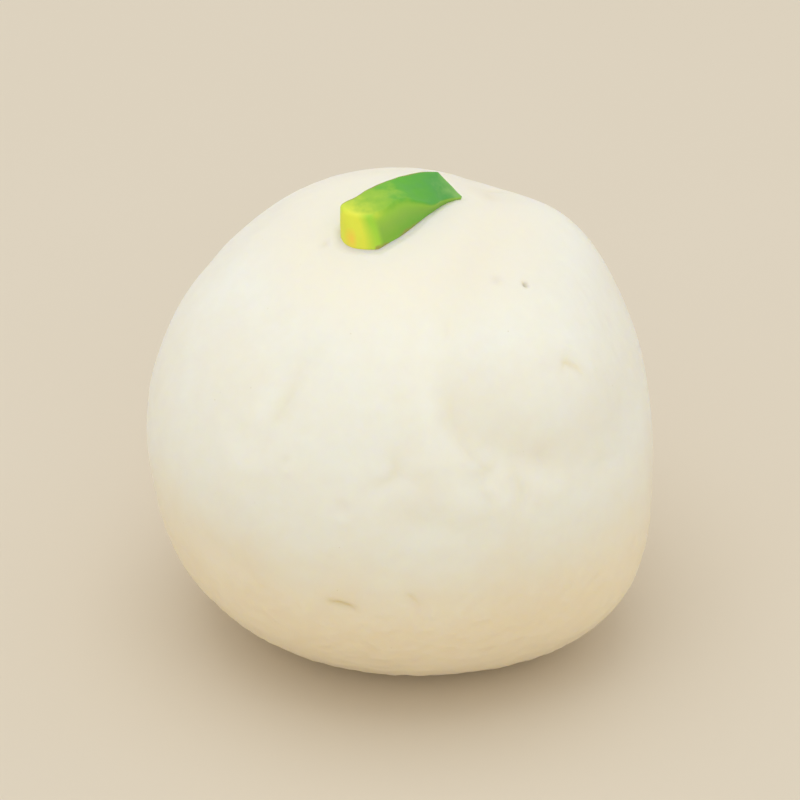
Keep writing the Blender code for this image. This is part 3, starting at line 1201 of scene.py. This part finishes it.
    def build(self, sliver: Sliver) -> bpy.types.Object:
        """Makes the ball.

        Args:
            sliver: The sliver that has pressed its seat into it.

        Returns:
            The dressed piece.
        """
        bm, directions = self.sphere()
        main = self.main_radius(directions)
        relief, hollow, bubble = self.fine_relief(directions, main)
        away = sliver.distance(directions * main[:, None])
        crown = directions[:, 2] > 0
        under = (1 - ramp(away, self.seat_edge)) * crown
        lip = np.exp(-(((away - self.lip_place) / (self.lip_width / 2)) ** 2)) * crown
        radius = main + relief * (1 - under) - self.seat_press * under + self.lip_rise * lip * (1 - under)
        points = self.flattened(directions, radius)
        self.shift = -(points.min(axis=0) + points.max(axis=0)) / 2 * (1, 1, 0)
        item = make_object("rasgulla_ball", bm, self.placed(points))
        # How much syrup yellow and painted shade each fold gets, and how much painted grey shade each pit
        # gets
        mark_points(item, "hollow", np.clip(hollow, 0, 1))
        mark_points(item, "bubble", np.clip(bubble, 0, 1))
        item.data.materials.append(self.finish.material())
        return item

    def flattened(self, directions: Array, radius: Array) -> Array:
        """Cuts the ball off at its foot, with a small rounding.

        Args:
            directions: Unit vectors of the points.
            radius: Their radius.

        Returns:
            Points about the ball's centre.
        """
        out_of_reach = 4 * MEAN_RADIUS
        to_foot = np.full(len(directions), out_of_reach)
        below = directions[:, 2] < self.foot_from
        to_foot[below] = self.foot_depth() / -directions[below, 2]
        overlap = np.clip(1 - np.abs(radius - to_foot) / self.foot_rounding, 0, 1)
        radius = np.minimum(radius, to_foot) - self.foot_rounding / 4 * overlap**2
        return directions * radius[:, None]

    def placed(self, points: Array) -> Array:
        """Moves points about the ball's centre to where the ball stands on the floor."""
        return points + self.shift + np.array((0.0, 0.0, self.foot_depth()))


@dataclass
class Studio:
    """A plain floor, soft light and the camera; sizes in metres."""

    floor_size: float = 4.0
    focal_length: float = 250.0
    sensor_width: float = 36.0
    picture_width: float = 0.071
    aim_height: float = 0.0215
    clip_range: float = 100.0
    sky: str = "#FFFFFF"
    sky_strength: float = 0.8
    floor_finish: PaintedBoard = PaintedBoard()

    def floor(self) -> bpy.types.Object:
        """Makes the floor.

        Returns:
            The floor, which isn't part of the sweet.
        """
        bm = bmesh.new()
        bmesh.ops.create_grid(bm, x_segments=8, y_segments=8, size=self.floor_size / 2)
        mesh = bpy.data.meshes.new("floor")
        bm.to_mesh(mesh)
        bm.free()
        mesh.materials.append(self.floor_finish.material())
        item = bpy.data.objects.new("floor", mesh)
        bpy.context.scene.collection.objects.link(item)
        return item

    def lamp(self, name: str, place: tuple[float, float, float], size: float, power: float) -> None:
        """Hangs a soft square lamp that faces the sweet.

        Args:
            name: Its name.
            place: Where it hangs.
            size: Its side.
            power: Its power in watts.
        """
        light = bpy.data.lights.new(name, "AREA")
        light.shape = "SQUARE"
        light.size = size
        light.energy = power
        item = bpy.data.objects.new(name, light)
        item.location = place
        aim = Vector((0.0, 0.0, self.aim_height)) - Vector(place)
        item.rotation_euler = aim.to_track_quat("-Z", "Y").to_euler()
        bpy.context.scene.collection.objects.link(item)

    def light(self) -> None:
        """Lights the sweet from above, with a weak fill from the front and a bright surround."""
        self.lamp("overhead", place=(-0.05, 0.0, 0.65), size=0.5, power=0.9)
        self.lamp("front_fill", place=(0.1, -0.75, 0.25), size=0.6, power=0.3)
        world = bpy.data.worlds.new("bright surround")
        world.use_nodes = True
        background = world.node_tree.nodes["Background"]
        background.inputs["Color"].default_value = linear(self.sky)
        background.inputs["Strength"].default_value = self.sky_strength
        bpy.context.scene.world = world
        bpy.context.scene.view_settings.view_transform = "Standard"

    def camera(self) -> None:
        """Sets up the camera in front, looking 32 degrees down with a long lens."""
        data = bpy.data.cameras.new("camera")
        data.lens = self.focal_length
        data.sensor_width = self.sensor_width
        distance = self.picture_width * self.focal_length / self.sensor_width
        back = Vector((0.0, -math.cos(VIEW_TILT), math.sin(VIEW_TILT)))
        item = bpy.data.objects.new("camera", data)
        item.location = Vector((0.0, 0.0, self.aim_height)) + distance * back
        item.rotation_euler = (-back).to_track_quat("-Z", "Y").to_euler()
        data.clip_start = distance / self.clip_range
        data.clip_end = distance * self.clip_range
        bpy.context.scene.collection.objects.link(item)
        bpy.context.scene.camera = item


def main() -> None:
    """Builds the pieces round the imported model, then the studio."""
    logging.basicConfig(level=logging.INFO, format="%(name)s: %(message)s")
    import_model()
    sliver = Sliver()
    ball = Ball()
    pieces = (
        (ball.build(sliver), Node.BALL, Slot.CHEESE),
        (sliver.build(ball), Node.SLIVER, Slot.PISTACHIO),
    )
    for item, node, slot in pieces:
        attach(item, "root")
        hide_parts(node.value)
        LOG.info("%s stands for %s: %d faces", item.name, node.value, len(item.data.polygons))
    studio = Studio()
    studio.floor()
    studio.light()
    studio.camera()
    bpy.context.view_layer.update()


if __name__ == "__main__":
    main()
